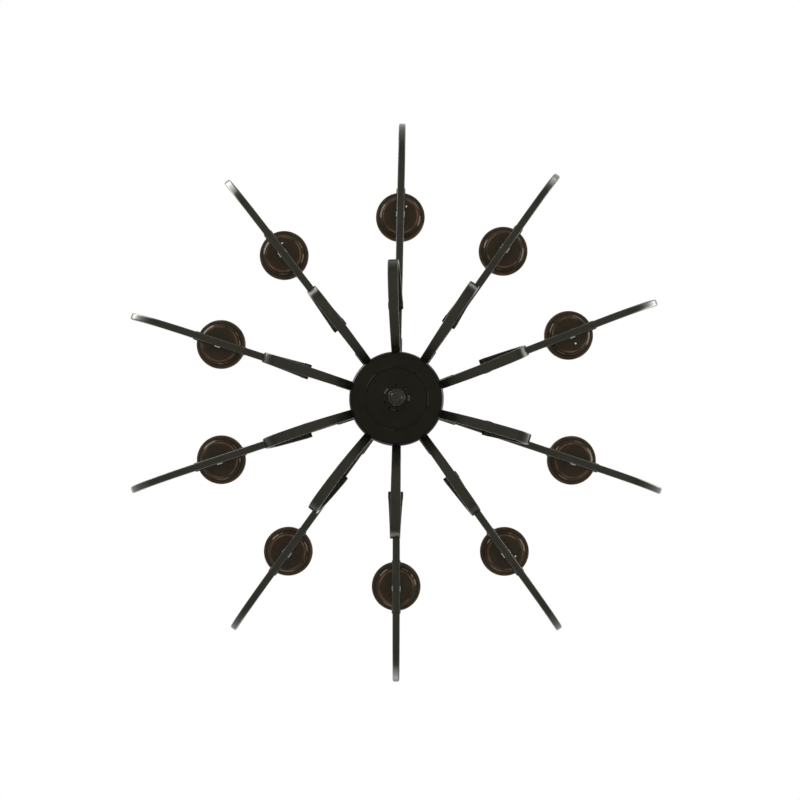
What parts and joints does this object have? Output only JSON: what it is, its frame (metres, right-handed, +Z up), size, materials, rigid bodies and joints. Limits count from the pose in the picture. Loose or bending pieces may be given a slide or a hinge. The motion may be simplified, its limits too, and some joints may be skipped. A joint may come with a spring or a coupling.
{
  "type": "scroll chandelier",
  "caption": "Chain-hung scroll chandelier: level arms with upturned tips leave a round hub, each with a C-scroll below and a candle pan and sleeve above.",
  "frame": {"origin": "centre of the ceiling face, midway between the two ceiling screws", "axes": "+Z up, into the ceiling; +X along the crossbar's two screws; everything hangs below z = 0"},
  "size_m": [0.9277, 0.9732, 0.5636],
  "materials": {
    "bronze_iron": "oil-rubbed bronze coating, satin, near black with worn coppery edges",
    "pan_bronze": "oil-rubbed bronze coating, satin, a little browner",
    "zinc_steel": "zinc-plated steel, inner fittings and fasteners",
    "candle_ivory": "matt ivory candle sleeve",
    "socket_black": "black moulded lamp socket"
  },
  "bodies": {
    "ceiling_mount": {"ceiling_canopy": "bronze_iron", "crossbar": "zinc_steel", "canopy_nipple": "zinc_steel", "canopy_loop": "bronze_iron"},
    "link_1": {"chain_link_1": "bronze_iron"},
    "link_2": {"chain_link_2": "bronze_iron"},
    "link_3": {"chain_link_3": "bronze_iron"},
    "frame": {"frame_loop": "bronze_iron", "stem": "bronze_iron", "centre_rod": "zinc_steel", "hub_bell": "bronze_iron", "arm_spider": "zinc_steel", "hub_dish": "bronze_iron", "finial": "bronze_iron", "arm_bolts": "zinc_steel", "pan_bridges": "bronze_iron", "socket_nipples": "zinc_steel", "lamp_sockets": "socket_black", "pan_screws": "zinc_steel", "arm_01": "bronze_iron", "arm_02": "bronze_iron", "arm_03": "bronze_iron", "arm_04": "bronze_iron", "arm_05": "bronze_iron", "arm_06": "bronze_iron", "arm_07": "bronze_iron", "arm_08": "bronze_iron", "arm_09": "bronze_iron", "arm_10": "bronze_iron", "scroll_01": "bronze_iron", "scroll_02": "bronze_iron", "scroll_03": "bronze_iron", "scroll_04": "bronze_iron", "scroll_05": "bronze_iron", "scroll_06": "bronze_iron", "scroll_07": "bronze_iron", "scroll_08": "bronze_iron", "scroll_09": "bronze_iron", "scroll_10": "bronze_iron", "drip_pan_01": "pan_bronze", "drip_pan_02": "pan_bronze", "drip_pan_03": "pan_bronze", "drip_pan_04": "pan_bronze", "drip_pan_05": "pan_bronze", "drip_pan_06": "pan_bronze", "drip_pan_07": "pan_bronze", "drip_pan_08": "pan_bronze", "drip_pan_09": "pan_bronze", "drip_pan_10": "pan_bronze"},
    "sleeve_01": {"candle_sleeve_01": "candle_ivory"},
    "sleeve_02": {"candle_sleeve_02": "candle_ivory"},
    "sleeve_03": {"candle_sleeve_03": "candle_ivory"},
    "sleeve_04": {"candle_sleeve_04": "candle_ivory"},
    "sleeve_05": {"candle_sleeve_05": "candle_ivory"},
    "sleeve_06": {"candle_sleeve_06": "candle_ivory"},
    "sleeve_07": {"candle_sleeve_07": "candle_ivory"},
    "sleeve_08": {"candle_sleeve_08": "candle_ivory"},
    "sleeve_09": {"candle_sleeve_09": "candle_ivory"},
    "sleeve_10": {"candle_sleeve_10": "candle_ivory"}
  },
  "joints": [
    {"name": "link_1_swing", "type": "hinge", "parent": "ceiling_mount", "child": "link_1", "pos_m": [0, 0, -0.069], "axis": [1, 0, 0], "range_deg": [-14, 14]},
    {"name": "link_2_swing", "type": "hinge", "parent": "link_1", "child": "link_2", "pos_m": [0, 0, -0.1134], "axis": [0, 1, 0], "range_deg": [-14, 14]},
    {"name": "link_3_swing", "type": "hinge", "parent": "link_2", "child": "link_3", "pos_m": [0, 0, -0.1583], "axis": [1, 0, 0], "range_deg": [-14, 14]},
    {"name": "frame_swing", "type": "hinge", "parent": "link_3", "child": "frame", "pos_m": [0, 0, -0.2032], "axis": [0, 1, 0], "range_deg": [-14, 14]},
    {"name": "sleeve_01_lift", "type": "slide", "parent": "frame", "child": "sleeve_01", "axis": [0, 0, 1], "range_m": [0, 0.11]},
    {"name": "sleeve_02_lift", "type": "slide", "parent": "frame", "child": "sleeve_02", "axis": [0, 0, 1], "range_m": [0, 0.11]},
    {"name": "sleeve_03_lift", "type": "slide", "parent": "frame", "child": "sleeve_03", "axis": [0, 0, 1], "range_m": [0, 0.11]},
    {"name": "sleeve_04_lift", "type": "slide", "parent": "frame", "child": "sleeve_04", "axis": [0, 0, 1], "range_m": [0, 0.11]},
    {"name": "sleeve_05_lift", "type": "slide", "parent": "frame", "child": "sleeve_05", "axis": [0, 0, 1], "range_m": [0, 0.11]},
    {"name": "sleeve_06_lift", "type": "slide", "parent": "frame", "child": "sleeve_06", "axis": [0, 0, 1], "range_m": [0, 0.11]},
    {"name": "sleeve_07_lift", "type": "slide", "parent": "frame", "child": "sleeve_07", "axis": [0, 0, 1], "range_m": [0, 0.11]},
    {"name": "sleeve_08_lift", "type": "slide", "parent": "frame", "child": "sleeve_08", "axis": [0, 0, 1], "range_m": [0, 0.11]},
    {"name": "sleeve_09_lift", "type": "slide", "parent": "frame", "child": "sleeve_09", "axis": [0, 0, 1], "range_m": [0, 0.11]},
    {"name": "sleeve_10_lift", "type": "slide", "parent": "frame", "child": "sleeve_10", "axis": [0, 0, 1], "range_m": [0, 0.11]}
  ]
}
